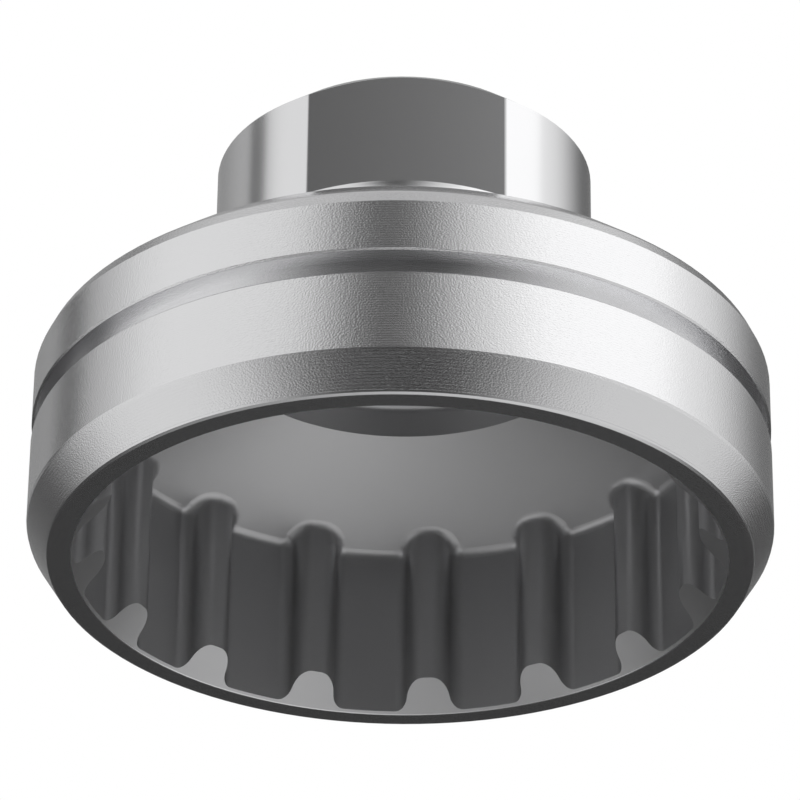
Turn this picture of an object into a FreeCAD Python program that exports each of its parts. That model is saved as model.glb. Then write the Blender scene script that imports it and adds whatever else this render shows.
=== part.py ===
"""Socket for the notched outer cups of a bicycle bottom bracket, cut from one bar of aluminium.

The origin is the centre of the mouth, in the plane of the rim. The axis is +Z, and the drive boss is on top.
All sizes are in millimetres and all angles in degrees.
"""
import FreeCAD, Part
import math
import os

from FreeCAD import Vector

NODE = "tool_body"

# Cavity: the toothed cup that goes over the bearing cup
TOOTH_COUNT = 16
TOOTH_PHASE = 83.5
ROOT_DIAMETER = 44.4
TOOTH_HEIGHT = 1.8
TOOTH_WIDTH = 3.05
TOOTH_TAPER = 13.0
TOOTH_ROOT_ROUND = 0.85
TOOTH_TIP_ROUND = 1.25
MOUTH_CLEARANCE = 0.2
MOUTH_ANGLE = 45.0
FLOOR_HEIGHT = 12.9
FLOOR_ANGLE = 30.0
FLOOR_ROUND = 0.8

# Recess: the plain counterbore above the floor, clear of the spindle's sleeve
RECESS_DIAMETER = 26.8
RECESS_DEPTH = 2.45
RECESS_ROUND = 0.5

# Body: the turned outside of the cup, a wall's thickness outside the cavity
CUP_WALL = 3.3
RIM_WIDTH = 1.56
RIM_CHAMFER_HEIGHT = 2.45
FLOOR_WALL = 1.89
SHOULDER_ANGLE = 31.0
SHOULDER_CHAMFER_WIDTH = 2.8
SHOULDER_CHAMFER_ANGLE = 38.7
BEVEL_HEIGHT = 1.01
BEVEL_ANGLE = 24.5
BEVEL_ROUND = 0.8
EDGE_BREAK = 0.12

# Groove: turned between the two bands of the body
GROOVE_HEIGHT = 8.26
GROOVE_WIDTH = 1.63
GROOVE_DEPTH = 1.62

# Drive: the half-inch square hole through the boss
DRIVE_SQUARE = 12.8
DRIVE_CORNER_ROUND = 0.6
DRIVE_LEAD_IN = 0.5
DETENT_DIAMETER = 4.4
DETENT_DEPTH = 1.1
DETENT_FROM_TOP = 7.2

# Boss: the round end that a ratchet or a wrench turns, a wall's thickness outside the square's corners
BOSS_WALL = 4.225
BOSS_LENGTH = 11.06
BOSS_FOOT_ROUND = 1.0
BOSS_CHAMFER_WIDTH = 2.65
BOSS_CHAMFER_ANGLE = 39.5
FLATS_DEPTH = 1.925
FLATS_EDGE_ROUND = 0.6
FLATS_FOOT = 0.8

# How far a cutting shape runs past what it cuts
PASS = 1.0

# The two ways of finishing a turned corner
ROUND = "round"
CHAMFER = "chamfer"

ROOT_RADIUS = ROOT_DIAMETER / 2
TIP_RADIUS = ROOT_RADIUS - TOOTH_HEIGHT
MOUTH_RADIUS = ROOT_RADIUS + MOUTH_CLEARANCE
RIM_RADIUS = MOUTH_RADIUS + RIM_WIDTH
BODY_RADIUS = ROOT_RADIUS + CUP_WALL
RECESS_RADIUS = RECESS_DIAMETER / 2
BOSS_RADIUS = DRIVE_SQUARE / math.sqrt(2) + BOSS_WALL
SHOULDER_HEIGHT = FLOOR_HEIGHT + FLOOR_WALL


def tangent(angle):
    """Returns the tangent of an angle in degrees."""
    return math.tan(math.radians(angle))


def floor_height(radius):
    """Returns the height of the sloping floor at a radius, measured from the foot of the slots."""
    return FLOOR_HEIGHT + (ROOT_RADIUS - radius) * tangent(FLOOR_ANGLE)


def shoulder_height(radius):
    """Returns the height of the sloping shoulder at a radius, inside its outer chamfer."""
    return SHOULDER_HEIGHT + (BODY_RADIUS - radius) * tangent(SHOULDER_ANGLE)


BOSS_FOOT_HEIGHT = shoulder_height(BOSS_RADIUS)
OVERALL_HEIGHT = BOSS_FOOT_HEIGHT + BOSS_LENGTH


def arc_between(start, finish, centre, radius):
    """Makes the short arc from start to finish about a centre."""
    outward = ((start + finish) / 2 - centre).normalize()
    return Part.Arc(start, centre + outward * radius, finish).toShape()


def turned_by(point, angle):
    """Returns a point turned about the axis by an angle in degrees."""
    cosine = math.cos(math.radians(angle))
    sine = math.sin(math.radians(angle))
    return Vector(point.x * cosine - point.y * sine, point.x * sine + point.y * cosine, point.z)


def turned(corners):
    """Turns a profile about the axis into a solid.

    Each corner of the profile is (radius, height) when it is sharp, and (radius, height, size, kind)
    when it is rounded or chamfered.
    """
    count = len(corners)
    points = [Vector(corner[0], 0, corner[1]) for corner in corners]
    edges = []
    ends = []
    for index, corner in enumerate(corners):
        here = points[index]
        if len(corner) == 2:
            ends.append((here, here))
            continue
        size, kind = corner[2:]
        back = (points[index - 1] - here).normalize()
        ahead = (points[(index + 1) % count] - here).normalize()
        if kind == CHAMFER:
            ends.append((here + back * size, here + ahead * size))
            edges.append(Part.LineSegment(*ends[-1]).toShape())
            continue
        half_turn = (math.pi - back.getAngle(ahead)) / 2
        reach = size * math.tan(half_turn)
        middle = here + (back + ahead).normalize() * (size / math.cos(half_turn) - size)
        ends.append((here + back * reach, here + ahead * reach))
        edges.append(Part.Arc(ends[-1][0], middle, ends[-1][1]).toShape())
    for index in range(count):
        edges.append(Part.LineSegment(ends[index][1], ends[(index + 1) % count][0]).toShape())
    profile = Part.Wire(Part.sortEdges(edges)[0])
    return Part.Face(profile).revolve(Vector(0, 0, 0), Vector(0, 0, 1), 360)


def make_blank():
    """Turns the outside: rim, chamfer, two bands with a groove between, bevel, chamfer, shoulder and boss."""
    groove_radius = BODY_RADIUS - GROOVE_DEPTH
    groove_top = GROOVE_HEIGHT + GROOVE_WIDTH
    chamfer_radius = BODY_RADIUS - SHOULDER_CHAMFER_WIDTH
    chamfer_top = shoulder_height(chamfer_radius)
    bevel_radius = BODY_RADIUS - BEVEL_HEIGHT * tangent(BEVEL_ANGLE)
    bevel_top = chamfer_top - (bevel_radius - chamfer_radius) * tangent(SHOULDER_CHAMFER_ANGLE)
    boss_top_radius = BOSS_RADIUS - BOSS_CHAMFER_WIDTH
    boss_edge_height = OVERALL_HEIGHT - BOSS_CHAMFER_WIDTH * tangent(BOSS_CHAMFER_ANGLE)
    return turned([
        (0, 0),
        (RIM_RADIUS, 0, EDGE_BREAK, CHAMFER),
        (BODY_RADIUS, RIM_CHAMFER_HEIGHT, EDGE_BREAK, CHAMFER),
        (BODY_RADIUS, GROOVE_HEIGHT, EDGE_BREAK, CHAMFER),
        (groove_radius, GROOVE_HEIGHT),
        (groove_radius, groove_top),
        (BODY_RADIUS, groove_top, EDGE_BREAK, CHAMFER),
        (BODY_RADIUS, bevel_top - BEVEL_HEIGHT),
        (bevel_radius, bevel_top, BEVEL_ROUND, ROUND),
        (chamfer_radius, chamfer_top),
        (BOSS_RADIUS, BOSS_FOOT_HEIGHT, BOSS_FOOT_ROUND, ROUND),
        (BOSS_RADIUS, boss_edge_height),
        (boss_top_radius, OVERALL_HEIGHT, EDGE_BREAK, CHAMFER),
        (0, OVERALL_HEIGHT),
    ])


def make_flats():
    """Makes the sleeve that leaves two soft-edged wrench flats, on the front and back of the boss."""
    half_width = BOSS_RADIUS - FLATS_DEPTH
    inner = BOSS_RADIUS - FLATS_EDGE_ROUND
    reach = math.sqrt(inner ** 2 - (half_width - FLATS_EDGE_ROUND) ** 2)
    axis = Vector(0, 0, 0)
    edges = []
    for angle in (0, 180):
        near_centre = turned_by(Vector(reach, half_width - FLATS_EDGE_ROUND, 0), angle)
        far_centre = turned_by(Vector(-reach, half_width - FLATS_EDGE_ROUND, 0), angle)
        near_flat = turned_by(Vector(reach, half_width, 0), angle)
        far_flat = turned_by(Vector(-reach, half_width, 0), angle)
        near_side = Vector(near_centre) * (BOSS_RADIUS / inner)
        far_side = Vector(far_centre) * (BOSS_RADIUS / inner)
        next_side = turned_by(near_side, 180)
        edges.append(arc_between(near_side, near_flat, near_centre, FLATS_EDGE_ROUND))
        edges.append(Part.LineSegment(near_flat, far_flat).toShape())
        edges.append(arc_between(far_flat, far_side, far_centre, FLATS_EDGE_ROUND))
        edges.append(arc_between(far_side, next_side, axis, BOSS_RADIUS))
    foot = BOSS_FOOT_HEIGHT + FLATS_FOOT
    kept = Part.Face(Part.Wire(edges)).extrude(Vector(0, 0, OVERALL_HEIGHT + PASS - foot))
    kept.translate(Vector(0, 0, foot))
    sleeve = Part.makeCylinder(BOSS_RADIUS + PASS, OVERALL_HEIGHT - foot, Vector(0, 0, foot))
    return [sleeve.cut(kept)]


def make_drive():
    """Makes the square hole with rounded corners, its lead-in and the pockets for the ratchet's ball."""
    bottom = floor_height(RECESS_RADIUS)
    height = OVERALL_HEIGHT + PASS - bottom
    square = Part.makeBox(DRIVE_SQUARE, DRIVE_SQUARE, height)
    square.translate(Vector(-DRIVE_SQUARE / 2, -DRIVE_SQUARE / 2, bottom))
    upright = [edge for edge in square.Edges if abs(edge.tangentAt(edge.FirstParameter).z) > 0.5]
    square = square.makeFillet(DRIVE_CORNER_ROUND, upright)
    wide = DRIVE_SQUARE / 2 + DRIVE_LEAD_IN + PASS
    narrow = DRIVE_SQUARE / 2
    wires = []
    for half, level in ((narrow, OVERALL_HEIGHT - DRIVE_LEAD_IN), (wide, OVERALL_HEIGHT + PASS)):
        corners = [Vector(x * half, y * half, level) for x, y in ((1, 1), (-1, 1), (-1, -1), (1, -1), (1, 1))]
        wires.append(Part.makePolygon(corners))
    lead_in = Part.makeLoft(wires, True, True)
    pocket_height = OVERALL_HEIGHT - DETENT_FROM_TOP
    half_length = DRIVE_SQUARE / 2 + DETENT_DEPTH
    pockets = []
    for direction in (Vector(1, 0, 0), Vector(0, 1, 0)):
        start = Vector(0, 0, pocket_height) - direction * half_length
        pockets.append(Part.makeCylinder(DETENT_DIAMETER / 2, 2 * half_length, start, direction))
    return [square.fuse([lead_in] + pockets)]


def tooth_side():
    """Works out one side of a tooth on the X axis.

    Returns the centre of the root round, its ends on the root circle and on the flank, the flank's other end,
    the centre of the tip round and its end on the tip circle.
    """
    taper = math.radians(TOOTH_TAPER)
    along = Vector(math.cos(taper), math.sin(taper), 0)
    across = Vector(-math.sin(taper), math.cos(taper), 0)
    middle = Vector((ROOT_RADIUS + TIP_RADIUS) / 2, TOOTH_WIDTH / 2, 0)
    offset = across.dot(middle)

    def round_centre(side, radius, distance):
        """Finds the centre that lies a radius from the flank and at a distance from the axis."""
        height = offset + side * radius
        return across * height + along * math.sqrt(distance ** 2 - height ** 2)

    root_centre = round_centre(1, TOOTH_ROOT_ROUND, ROOT_RADIUS - TOOTH_ROOT_ROUND)
    tip_centre = round_centre(-1, TOOTH_TIP_ROUND, TIP_RADIUS + TOOTH_TIP_ROUND)
    on_root = Vector(root_centre).normalize() * ROOT_RADIUS
    on_tip = Vector(tip_centre).normalize() * TIP_RADIUS
    flank_root = root_centre - across * TOOTH_ROOT_ROUND
    flank_tip = tip_centre + across * TOOTH_TIP_ROUND
    return root_centre, on_root, flank_root, flank_tip, tip_centre, on_tip


def mirrored(point):
    """Returns a point mirrored across the tooth's centre line."""
    return Vector(point.x, -point.y, point.z)


def toothed_outline():
    """Makes the closed outline of the cavity: slots at the root circle with a tooth between each two."""
    root_centre, on_root, flank_root, flank_tip, tip_centre, on_tip = tooth_side()
    pitch = 360 / TOOTH_COUNT
    axis = Vector(0, 0, 0)
    edges = []
    for index in range(TOOTH_COUNT):
        angle = TOOTH_PHASE + index * pitch
        low_root, high_root = turned_by(mirrored(on_root), angle), turned_by(on_root, angle)
        low_foot, high_foot = turned_by(mirrored(flank_root), angle), turned_by(flank_root, angle)
        low_head, high_head = turned_by(mirrored(flank_tip), angle), turned_by(flank_tip, angle)
        low_tip, high_tip = turned_by(mirrored(on_tip), angle), turned_by(on_tip, angle)
        next_root = turned_by(mirrored(on_root), angle + pitch)
        low_root_centre = turned_by(mirrored(root_centre), angle)
        high_root_centre = turned_by(root_centre, angle)
        low_tip_centre = turned_by(mirrored(tip_centre), angle)
        high_tip_centre = turned_by(tip_centre, angle)
        edges.append(arc_between(low_root, low_foot, low_root_centre, TOOTH_ROOT_ROUND))
        edges.append(Part.LineSegment(low_foot, low_head).toShape())
        edges.append(arc_between(low_head, low_tip, low_tip_centre, TOOTH_TIP_ROUND))
        edges.append(arc_between(low_tip, high_tip, axis, TIP_RADIUS))
        edges.append(arc_between(high_tip, high_head, high_tip_centre, TOOTH_TIP_ROUND))
        edges.append(Part.LineSegment(high_head, high_foot).toShape())
        edges.append(arc_between(high_foot, high_root, high_root_centre, TOOTH_ROOT_ROUND))
        edges.append(arc_between(high_root, next_root, axis, ROOT_RADIUS))
    return Part.Wire(edges)


def on_floor(edge):
    """Tells whether an edge runs round the teeth where they meet the sloping floor."""
    first, last = edge.ParameterRange
    for share in (0.0, 0.5, 1.0):
        point = edge.valueAt(first + (last - first) * share)
        radius = math.hypot(point.x, point.y)
        if radius < TIP_RADIUS - EDGE_BREAK or abs(point.z - floor_height(radius)) > EDGE_BREAK / 10:
            return False
    return True


def make_cavity():
    """Makes the hollow: toothed slots up to the sloping floor, rounded where they meet, and the recess."""
    wide = ROOT_RADIUS + PASS
    edge_height = floor_height(RECESS_RADIUS)
    slots = Part.Face(toothed_outline()).extrude(Vector(0, 0, edge_height + 2 * PASS))
    slots.translate(Vector(0, 0, -PASS))
    below_floor = turned([
        (0, -2 * PASS),
        (wide, -2 * PASS),
        (wide, floor_height(wide)),
        (0, floor_height(0)),
    ])
    toothed = slots.common(below_floor)
    toothed = toothed.makeFillet(FLOOR_ROUND, [edge for edge in toothed.Edges if on_floor(edge)])
    above_edge = Part.makeCylinder(wide, floor_height(0), Vector(0, 0, edge_height))
    toothed = toothed.cut(above_edge)
    recess = turned([
        (0, edge_height - PASS),
        (RECESS_RADIUS, edge_height - PASS),
        (RECESS_RADIUS, edge_height + RECESS_DEPTH, RECESS_ROUND, ROUND),
        (0, edge_height + RECESS_DEPTH),
    ])
    mouth = turned([
        (0, -PASS),
        (MOUTH_RADIUS, -PASS),
        (MOUTH_RADIUS, 0),
        (0, MOUTH_RADIUS * tangent(MOUTH_ANGLE)),
    ])
    return [toothed, recess, mouth]


def make_tool():
    """Makes the whole socket as one solid."""
    tool = make_blank()
    for cutter in make_flats() + make_drive() + make_cavity():
        tool = tool.cut(cutter)
    return tool.removeSplitter()


def main():
    """Builds the socket and writes it as a STEP file."""
    os.makedirs("parts", exist_ok=True)
    tool = make_tool()
    print(NODE, "solids", len(tool.Solids), "valid", tool.isValid(), "volume", round(tool.Volume, 1))
    print("box", tool.BoundBox)
    tool.exportStep("parts/" + NODE + ".step")


main()
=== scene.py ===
"""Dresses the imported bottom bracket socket, lights it and sets the camera at the photograph's angle.

The socket stands on its rim. The camera looks up at it from below the floor's level, into the toothed mouth,
so the floor is made in a way that hides it from below. A tent of cloth round the socket gives the bare metal
something to mirror. The row frame is used throughout, in metres.
"""

import logging
import math
from dataclasses import dataclass, field
from typing import Any, Iterable, Optional

import bpy
from mathutils import Matrix, Vector


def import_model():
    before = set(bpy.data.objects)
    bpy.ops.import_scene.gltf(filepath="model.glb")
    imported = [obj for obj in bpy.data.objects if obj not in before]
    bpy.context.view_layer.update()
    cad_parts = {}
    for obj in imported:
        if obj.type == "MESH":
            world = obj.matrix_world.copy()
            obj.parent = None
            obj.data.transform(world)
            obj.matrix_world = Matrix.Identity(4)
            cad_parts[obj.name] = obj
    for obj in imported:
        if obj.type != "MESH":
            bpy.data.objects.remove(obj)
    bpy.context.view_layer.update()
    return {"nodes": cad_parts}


LOG = logging.getLogger("socket")

NodeTree = bpy.types.NodeTree
Node = bpy.types.Node
Output = bpy.types.NodeSocket

MM = 0.001


def linear(hex_colour: str) -> tuple[float, float, float, float]:
    """Turns a colour written as sRGB hex into the linear colour that shaders take.

    Args:
        hex_colour: Six hex digits with a leading hash mark.

    Returns:
        Red, green, blue and an alpha of 1.
    """
    channels = []
    for start in (1, 3, 5):
        value = int(hex_colour[start:start + 2], 16) / 255
        channels.append(value / 12.92 if value <= 0.04045 else ((value + 0.055) / 1.055) ** 2.4)
    return (channels[0], channels[1], channels[2], 1.0)


def add_node(tree: NodeTree, kind: str, inputs: Optional[dict] = None, **settings: Any) -> Node:
    """Adds a shader node, sets it up and links it.

    Args:
        tree: The node tree that takes the node.
        kind: The node's type name.
        inputs: Values or outputs by input name or number. An output is linked, anything else is set.
        settings: Attributes of the node itself.

    Returns:
        The new node.
    """
    node = tree.nodes.new(kind)
    for name, value in settings.items():
        setattr(node, name, value)
    for key, value in (inputs or {}).items():
        if isinstance(value, Output):
            tree.links.new(value, node.inputs[key])
        else:
            node.inputs[key].default_value = value
    return node


def new_tree(name: str) -> tuple[bpy.types.Material, NodeTree]:
    """Makes an empty node material.

    Args:
        name: The material's name.

    Returns:
        The material and its node tree, with no nodes in it.
    """
    material = bpy.data.materials.new(name)
    material.use_nodes = True
    material.node_tree.nodes.clear()
    return material, material.node_tree


def show_to_reflections_only(thing: bpy.types.Object) -> None:
    """Hides a cloth from all but the metal's reflections."""
    thing.visible_camera = thing.visible_diffuse = thing.visible_shadow = False


@dataclass(frozen=True)
class AnodisedAluminium:
    """Aluminium bar, turned on a lathe and anodised clear.

    It gives the eye a neutral light grey metal with soft-edged reflections. The bands and the rim's chamfer
    keep turned lines and fine level tool marks, which show where a dark reflection meets a bright one. The
    cup inside is duller and painted darker as painted shade, and the groove is painted brighter as painted
    light.

    The tints are sRGB. The zones are told apart by the radius and the height above the rim, in millimetres.
    """

    name: str = "turned_anodised_aluminium"
    colour: str = "#DFDFE0"
    shade: str = "#DADADB"
    # Painted shade: the cup's inside is tinted darker than the bare metal.
    cavity_painted_shade: str = "#C0C0C1"
    # Painted light: the groove is tinted lighter than the bare metal.
    groove_painted_light: str = "#F0F0F1"
    roughness: float = 0.2
    cavity_roughness: float = 0.42
    line_roughness: float = 0.06
    mark_depth_mm: float = 0.012
    outer_radius_mm: float = 24.1
    band_radius_mm: float = 25.3
    groove_foot_mm: float = 8.3
    groove_top_mm: float = 10.0
    cavity_radius_mm: float = 22.8
    cavity_foot_mm: float = 0.05
    cavity_top_mm: float = 29.3
    shoulder_slope: float = 0.601
    # The real feed is about 0.1 mm, and the marks are finer still. Both are drawn about two pixels apart,
    # which is the least that shows.
    line_pitch_mm: float = 0.18
    mark_pitch_mm: float = 0.13
    mark_flatness: float = 2.2
    cloud_mm: float = 9.0

    def build(self) -> bpy.types.Material:
        """Makes the node material.

        Returns:
            The material, on Object coordinates only.
        """
        material, tree = new_tree(self.name)
        place = add_node(tree, "ShaderNodeTexCoord").outputs["Object"]
        parts = add_node(tree, "ShaderNodeSeparateXYZ", {"Vector": place}).outputs
        flat = add_node(tree, "ShaderNodeCombineXYZ", {"X": parts["X"], "Y": parts["Y"]}).outputs["Vector"]
        radius = add_node(tree, "ShaderNodeVectorMath", {0: flat}, operation="LENGTH").outputs["Value"]
        cloud = add_node(tree, "ShaderNodeTexNoise", {
            "Vector": place, "Scale": 1 / (self.cloud_mm * MM), "Detail": 3.0, "Roughness": 0.5,
        }).outputs["Fac"]
        tint = add_node(tree, "ShaderNodeMix", {0: cloud, 6: linear(self.shade), 7: linear(self.colour)},
                        data_type="RGBA").outputs[2]
        height = parts["Z"]
        lines, marks = self.tooling(tree, place, height, radius)
        rough = add_node(tree, "ShaderNodeMath", {
            0: lines, 1: self.line_roughness, 2: self.roughness,
        }, operation="MULTIPLY_ADD").outputs["Value"]
        groove = self.within(tree, (
            (radius, "LESS_THAN", self.band_radius_mm), (radius, "GREATER_THAN", self.cavity_radius_mm),
            (height, "GREATER_THAN", self.groove_foot_mm), (height, "LESS_THAN", self.groove_top_mm),
        ))
        # Painted light: the groove's colour is lightened to the groove tint.
        tint = add_node(tree, "ShaderNodeMix", {0: groove, 6: tint, 7: linear(self.groove_painted_light)},
                        data_type="RGBA").outputs[2]
        # The height at which the shoulder's slope through a point meets the axis tells the cup from the
        # shoulder above it.
        peak = add_node(tree, "ShaderNodeMath", {0: radius, 1: self.shoulder_slope, 2: height},
                        operation="MULTIPLY_ADD").outputs["Value"]
        cavity = self.within(tree, (
            (radius, "LESS_THAN", self.cavity_radius_mm), (height, "GREATER_THAN", self.cavity_foot_mm),
            (peak, "LESS_THAN", self.cavity_top_mm),
        ))
        rough = add_node(tree, "ShaderNodeMix", {0: cavity, 2: rough, 3: self.cavity_roughness}).outputs[0]
        # Painted shade: the cup's colour is darkened to the cavity tint.
        tint = add_node(tree, "ShaderNodeMix", {0: cavity, 6: tint, 7: linear(self.cavity_painted_shade)},
                        data_type="RGBA").outputs[2]
        relief = add_node(tree, "ShaderNodeBump", {
            "Height": marks, "Strength": 1.0, "Distance": self.mark_depth_mm * MM,
        }).outputs["Normal"]
        shader = add_node(tree, "ShaderNodeBsdfPrincipled", {
            "Base Color": tint, "Metallic": 1.0, "Roughness": rough, "Normal": relief,
        }).outputs["BSDF"]
        add_node(tree, "ShaderNodeOutputMaterial", {"Surface": shader})
        return material

    def tooling(self, tree: NodeTree, place: Output, height: Output, radius: Output) -> tuple[Output, Output]:
        """Draws the turned lines and the fine level tool marks, on the outside only.

        Args:
            tree: The material's node tree.
            place: The Object coordinates.
            height: The height above the rim.
            radius: The distance from the axis.

        Returns:
            The lines as a value from 0, smooth, to 1, rough, and the marks' relief from 0 to 1.
        """
        turns = add_node(tree, "ShaderNodeMath", {
            0: height, 1: 2 * math.pi / (self.line_pitch_mm * MM),
        }, operation="MULTIPLY").outputs["Value"]
        wave = add_node(tree, "ShaderNodeMath", {0: turns}, operation="SINE").outputs["Value"]
        lines = add_node(tree, "ShaderNodeMath", {
            0: wave, 1: 0.5, 2: 0.5,
        }, operation="MULTIPLY_ADD").outputs["Value"]
        flat = add_node(tree, "ShaderNodeVectorMath", {
            0: place, 1: (1.0, 1.0, self.mark_flatness),
        }, operation="MULTIPLY").outputs["Vector"]
        marks = add_node(tree, "ShaderNodeTexNoise", {
            "Vector": flat, "Scale": 1 / (self.mark_pitch_mm * MM), "Detail": 0.0,
        }).outputs["Fac"]
        outside = add_node(tree, "ShaderNodeMath", {
            0: radius, 1: self.outer_radius_mm * MM,
        }, operation="GREATER_THAN").outputs["Value"]
        return tuple(
            add_node(tree, "ShaderNodeMath", {0: pattern, 1: outside}, operation="MULTIPLY").outputs["Value"]
            for pattern in (lines, marks))

    def within(self, tree: NodeTree, limits: Iterable[tuple[Output, str, float]]) -> Output:
        """Marks the place where all limits hold, such as the cup or the groove.

        Args:
            tree: The material's node tree.
            limits: For each limit the measure, the comparison and the limit in millimetres.

        Returns:
            1 where all of them hold and 0 elsewhere.
        """
        inside: float | Output = 1.0
        for measure, comparison, limit_mm in limits:
            holds = add_node(tree, "ShaderNodeMath", {0: measure, 1: limit_mm * MM}, operation=comparison)
            inside = add_node(tree, "ShaderNodeMath", {0: inside, 1: holds.outputs["Value"]},
                              operation="MULTIPLY").outputs["Value"]
        return inside


@dataclass(frozen=True)
class StudioPaper:
    """Matt white studio paper, whose underside and edges are made not to show.

    It gives the eye a plain white surface with the object's soft shadow, seen from above only.
    """

    name: str = "studio_paper"
    colour: str = "#F4F4F4"

    def build(self) -> bpy.types.Material:
        """Makes the node material.

        Returns:
            The material: matt paper where the front is seen by the camera, clear for everything else.
        """
        material, tree = new_tree(self.name)
        paper = add_node(tree, "ShaderNodeBsdfDiffuse", {"Color": linear(self.colour)}).outputs["BSDF"]
        clear = add_node(tree, "ShaderNodeBsdfTransparent").outputs["BSDF"]
        camera = add_node(tree, "ShaderNodeLightPath").outputs["Is Camera Ray"]
        back = add_node(tree, "ShaderNodeNewGeometry").outputs["Backfacing"]
        front = add_node(tree, "ShaderNodeMath", {0: 1.0, 1: back}, operation="SUBTRACT").outputs["Value"]
        seen = add_node(tree, "ShaderNodeMath", {0: front, 1: camera}, operation="MULTIPLY").outputs["Value"]
        shader = add_node(tree, "ShaderNodeMixShader", {0: seen, 1: clear, 2: paper}).outputs["Shader"]
        add_node(tree, "ShaderNodeOutputMaterial", {"Surface": shader})
        return material


@dataclass(frozen=True)
class Wall:
    """The tent's cloth all round at one height: a wide window at each side and darker cloth between.

    Each stop is the edge of a cloth: its azimuth in degrees, from the camera's side round to the right, and
    the light that comes through there, where 1 is the white outside the tent. From edge to edge the light
    changes softly. The first stop and the last are both straight behind.
    """

    stops: tuple[tuple[float, float], ...]

    def shape(self, tree: NodeTree, turn: Output) -> Output:
        """Gives the light that comes through the wall.

        Args:
            tree: The material's node tree.
            turn: The azimuth as a share of a whole turn, from 0 to 1 with 0.5 at the camera's side.

        Returns:
            The level.
        """
        ramp = add_node(tree, "ShaderNodeValToRGB", {"Fac": turn})
        ramp.color_ramp.interpolation = "EASE"
        elements = ramp.color_ramp.elements
        for azimuth, level in self.stops:
            place = azimuth / 360 + 0.5
            # The ramp comes with its two ends, and the stops between them are added.
            end = {0.0: elements[0], 1.0: elements[-1]}.get(place)
            element = end or elements.new(place)
            element.color = (level, level, level, 1.0)
        return ramp.outputs["Color"]


@dataclass(frozen=True)
class LightTent:
    """A round tent of thin cloth, white at the sides and darkened in front and behind.

    Only reflections see it. It gives the bare metal the soft dark and bright bands that a photographer's tent
    gives. The upper wall is mirrored by what faces sideways, and the lower wall by the rim's chamfer. The base
    goes from dark on the left to light on the right, and is mirrored by the cup's floor and the teeth's ends.
    Edges are in degrees of elevation, and the base's two ends are sideways parts of the direction.
    """

    name: str = "light_tent"
    cloth: str = "tent_cloth"
    radius: float = 0.3
    segments: int = 64
    rings: int = 32
    upper: Wall = Wall((
        (-180, 0.38), (-150, 0.32), (-105, 0.52), (-78, 0.95), (-35, 0.94), (-8, 0.10),
        (-4, 0.10), (30, 1.0), (94, 1.0), (140, 0.16), (150, 0.16), (180, 0.38),
    ))
    lower: Wall = Wall((
        (-180, 0.05), (-126, 0.06), (-86, 0.88), (-62, 0.88), (-16, 0.08),
        (9, 0.06), (62, 0.79), (102, 0.80), (131, 0.06), (180, 0.05),
    ))
    lower_until: float = -3.0
    upper_from: float = 30.0
    roof_level: float = 0.6
    roof_edge: tuple[float, float] = (52.0, 75.0)
    base_level_left: float = 0.14
    base_level_right: float = 0.76
    base_edge: tuple[float, float] = (-40.0, -56.0)
    base_from_left: float = -0.75
    base_to_right: float = 0.3

    def hang(self) -> bpy.types.Object:
        """Hangs the tent round the socket.

        Returns:
            The tent object.
        """
        bpy.ops.mesh.primitive_uv_sphere_add(
            segments=self.segments, ring_count=self.rings, radius=self.radius, location=(0, 0, 0))
        tent = bpy.context.object
        tent.name = self.name
        tent.data.materials.append(self.build())
        show_to_reflections_only(tent)
        return tent

    def build(self) -> bpy.types.Material:
        """Makes the cloth, which lets more or less of the white outside through by direction.

        Returns:
            The material, on Object coordinates only.
        """
        material, tree = new_tree(self.cloth)
        place = add_node(tree, "ShaderNodeTexCoord").outputs["Object"]
        way = add_node(tree, "ShaderNodeVectorMath", {0: place}, operation="NORMALIZE").outputs["Vector"]
        parts = add_node(tree, "ShaderNodeSeparateXYZ", {"Vector": way}).outputs
        ahead = add_node(tree, "ShaderNodeMath", {
            0: parts["Y"], 1: -1.0,
        }, operation="MULTIPLY").outputs["Value"]
        turn = add_node(tree, "ShaderNodeMath", {
            0: parts["X"], 1: ahead,
        }, operation="ARCTAN2").outputs["Value"]
        share = add_node(tree, "ShaderNodeMath", {
            0: turn, 1: 0.5 / math.pi, 2: 0.5,
        }, operation="MULTIPLY_ADD").outputs["Value"]
        rise = add_node(tree, "ShaderNodeMath", {0: parts["Z"]}, operation="ARCSINE").outputs["Value"]
        elevation = add_node(tree, "ShaderNodeMath", {0: rise}, operation="DEGREES").outputs["Value"]
        half = add_node(tree, "ShaderNodeMapRange", {
            "Value": elevation, "From Min": self.lower_until, "From Max": self.upper_from,
        }, interpolation_type="SMOOTHSTEP").outputs["Result"]
        wall = add_node(tree, "ShaderNodeMix", {
            0: half, 2: self.lower.shape(tree, share), 3: self.upper.shape(tree, share),
        }).outputs[0]
        roof = add_node(tree, "ShaderNodeMapRange", {
            "Value": elevation, "From Min": self.roof_edge[0], "From Max": self.roof_edge[1],
        }, interpolation_type="SMOOTHSTEP").outputs["Result"]
        wall = add_node(tree, "ShaderNodeMix", {0: roof, 2: wall, 3: self.roof_level}).outputs[0]
        base = add_node(tree, "ShaderNodeMapRange", {
            "Value": elevation, "From Min": self.base_edge[0], "From Max": self.base_edge[1],
        }, interpolation_type="SMOOTHSTEP").outputs["Result"]
        base_level = add_node(tree, "ShaderNodeMapRange", {
            "Value": parts["X"], "From Min": self.base_from_left, "From Max": self.base_to_right,
            "To Min": self.base_level_left, "To Max": self.base_level_right,
        }).outputs["Result"]
        level = add_node(tree, "ShaderNodeMix", {0: base, 2: wall, 3: base_level}).outputs[0]
        cloth = add_node(tree, "ShaderNodeBsdfTransparent", {"Color": level}).outputs["BSDF"]
        add_node(tree, "ShaderNodeOutputMaterial", {"Surface": cloth})
        return material


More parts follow.
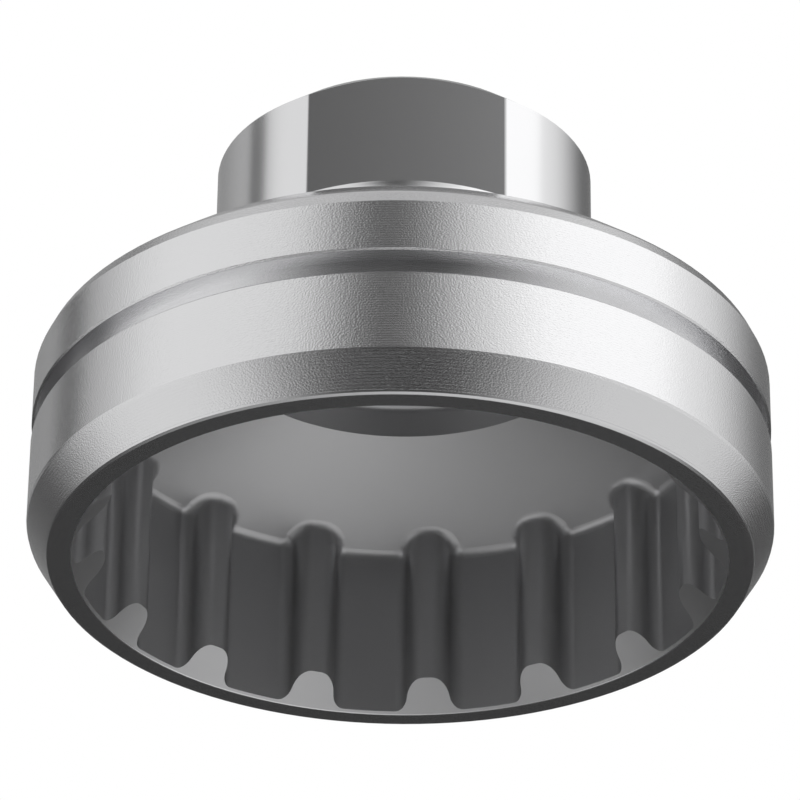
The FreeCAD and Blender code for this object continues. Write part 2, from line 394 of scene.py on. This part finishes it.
@dataclass(frozen=True)
class Flag:
    """A slim dark cloth beside the socket, which draws the soft dark stripe at the left of bands and boss.

    Only reflections see it. The place is the cloth's middle, in metres, and the level is what light it lets
    through.
    """

    name: str = "dark_flag"
    place: tuple[float, float, float] = (-0.037, -0.0022, 0.028)
    width: float = 0.008
    height: float = 0.046
    level: float = 0.30

    def hang(self) -> bpy.types.Object:
        """Hangs the cloth upright, facing the socket.

        Returns:
            The cloth.
        """
        bpy.ops.mesh.primitive_plane_add(size=1.0, location=self.place, rotation=(0, math.pi / 2, 0))
        cloth = bpy.context.object
        cloth.name = self.name
        cloth.scale = (self.height, self.width, 1.0)
        material, tree = new_tree(self.name + "_cloth")
        thin = add_node(tree, "ShaderNodeBsdfTransparent", {
            "Color": (self.level, self.level, self.level, 1.0),
        }).outputs["BSDF"]
        add_node(tree, "ShaderNodeOutputMaterial", {"Surface": thin})
        cloth.data.materials.append(material)
        show_to_reflections_only(cloth)
        return cloth


@dataclass
class GroovedSocket:
    """The socket itself: one turned piece, kept as the CAD gives it and dressed."""

    node: str = "tool_body"
    finish: AnodisedAluminium = field(default_factory=AnodisedAluminium)

    def dress(self, nodes: dict[str, bpy.types.Object]) -> bpy.types.Object:
        """Puts the finish on the CAD node.

        Args:
            nodes: The CAD nodes by name.

        Returns:
            The dressed object.
        """
        piece = nodes[self.node]
        material = self.finish.build()
        for slot in piece.material_slots:
            slot.material = material
        return piece


@dataclass(frozen=True)
class Softbox:
    """A flat studio light near the socket, facing its axis.

    Angles are in degrees: azimuth from the camera's side round to the right, elevation from the floor's
    level. Sizes are in metres and power in watts.
    """

    name: str
    azimuth: float
    elevation: float
    distance: float
    width: float
    height: float
    power: float
    seen_in_metal: bool

    def hang(self, aim: Vector) -> bpy.types.Object:
        """Adds the softbox.

        Args:
            aim: The point that it faces.

        Returns:
            The light object.
        """
        azimuth, elevation = math.radians(self.azimuth), math.radians(self.elevation)
        away = Vector((math.sin(azimuth) * math.cos(elevation), -math.cos(azimuth) * math.cos(elevation),
                       math.sin(elevation)))
        lamp = bpy.data.lights.new(self.name, "AREA")
        lamp.shape = "RECTANGLE"
        lamp.size, lamp.size_y = self.width, self.height
        lamp.energy = self.power
        light = bpy.data.objects.new(self.name, lamp)
        light.location = aim + away * self.distance
        light.rotation_euler = away.to_track_quat("Z", "Y").to_euler()
        light.visible_glossy = self.seen_in_metal
        bpy.context.scene.collection.objects.link(light)
        return light


@dataclass
class Studio:
    """The floor, the tent, the lamps, the white surroundings and the camera."""

    floor_side: float = 1.2
    # A hair below the rim, because two faces in one plane would be drawn in patches.
    floor_drop: float = 0.00003
    aim: Vector = field(default_factory=lambda: Vector((0, 0, 0.014)))
    tent: LightTent = field(default_factory=LightTent)
    flag: Flag = field(default_factory=Flag)
    floor_light: float = 0.7
    softboxes: tuple[Softbox, ...] = (
        Softbox("right_softbox", 62, 32, 0.40, 0.34, 0.26, 0.098, True),
        Softbox("floor_softbox", -30, 60, 0.60, 0.30, 0.30, 2.0, False),
    )
    camera_place: Vector = field(default_factory=lambda: Vector((-0.003609, -0.289132, -0.153327)))
    camera_turn: float = -0.6915
    camera_pitch: float = 29.956
    camera_roll: float = 0.6707
    lens: float = 216.307
    sensor: float = 36.0

    def lay_floor(self) -> bpy.types.Object:
        """Lays the paper floor at the socket's foot.

        Returns:
            The floor object.
        """
        bpy.ops.mesh.primitive_plane_add(size=self.floor_side, location=(0, 0, -self.floor_drop))
        floor = bpy.context.object
        floor.name = "floor"
        floor.data.materials.append(StudioPaper().build())
        return floor

    def hang_lights(self) -> None:
        """Hangs the tent, the flag and each softbox."""
        for cloth in (self.tent, self.flag):
            LOG.info("%s hung", cloth.hang().name)
        for softbox in self.softboxes:
            softbox.hang(self.aim)
            LOG.info("%s at %.0f degrees", softbox.name, softbox.azimuth)

    def light_world(self) -> None:
        """Makes the surroundings: plain white to camera and metal, and a little dimmer on the floor."""
        world = bpy.data.worlds.new("studio")
        world.use_nodes = True
        # The tent shades what reflections see, so the world is found by reflections alone and isn't sampled
        # as a lamp.
        world.cycles.sampling_method = "NONE"
        tree = world.node_tree
        tree.nodes.clear()
        plain = linear("#FFFFFF")
        dim = add_node(tree, "ShaderNodeBackground", {"Color": plain, "Strength": self.floor_light})
        white = add_node(tree, "ShaderNodeBackground", {"Color": plain, "Strength": 1.0})
        rays = add_node(tree, "ShaderNodeLightPath").outputs
        shown = add_node(tree, "ShaderNodeMath", {
            0: rays["Is Camera Ray"], 1: rays["Is Glossy Ray"],
        }, operation="MAXIMUM").outputs["Value"]
        shown = add_node(tree, "ShaderNodeMath", {
            0: shown, 1: rays["Is Transmission Ray"],
        }, operation="MAXIMUM").outputs["Value"]
        mix = add_node(tree, "ShaderNodeMixShader", {0: shown, 1: dim.outputs[0], 2: white.outputs[0]})
        add_node(tree, "ShaderNodeOutputWorld", {"Surface": mix.outputs[0]})
        bpy.context.scene.world = world

    def place_camera(self) -> bpy.types.Object:
        """Sets the camera where the photograph was taken from.

        Returns:
            The camera object.
        """
        data = bpy.data.cameras.new("camera")
        data.sensor_width = self.sensor
        data.lens = self.lens
        data.clip_start, data.clip_end = 0.01, 10.0
        camera = bpy.data.objects.new("camera", data)
        turn = Matrix.Rotation(math.radians(self.camera_turn), 4, "Z")
        turn @= Matrix.Rotation(math.radians(90 + self.camera_pitch), 4, "X")
        turn @= Matrix.Rotation(math.radians(self.camera_roll), 4, "Z")
        camera.matrix_world = Matrix.Translation(self.camera_place) @ turn
        bpy.context.scene.collection.objects.link(camera)
        bpy.context.scene.camera = camera
        return camera


def main() -> None:
    """Builds the scene in order and reports each piece."""
    logging.basicConfig(level=logging.INFO, format="%(name)s: %(message)s")
    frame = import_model()
    studio = Studio()
    studio.lay_floor()
    piece = GroovedSocket().dress(frame["nodes"])
    LOG.info("%s dressed", piece.name)
    studio.hang_lights()
    studio.light_world()
    studio.place_camera()
    bpy.context.scene.view_settings.view_transform = "Standard"


if __name__ == "__main__":
    main()
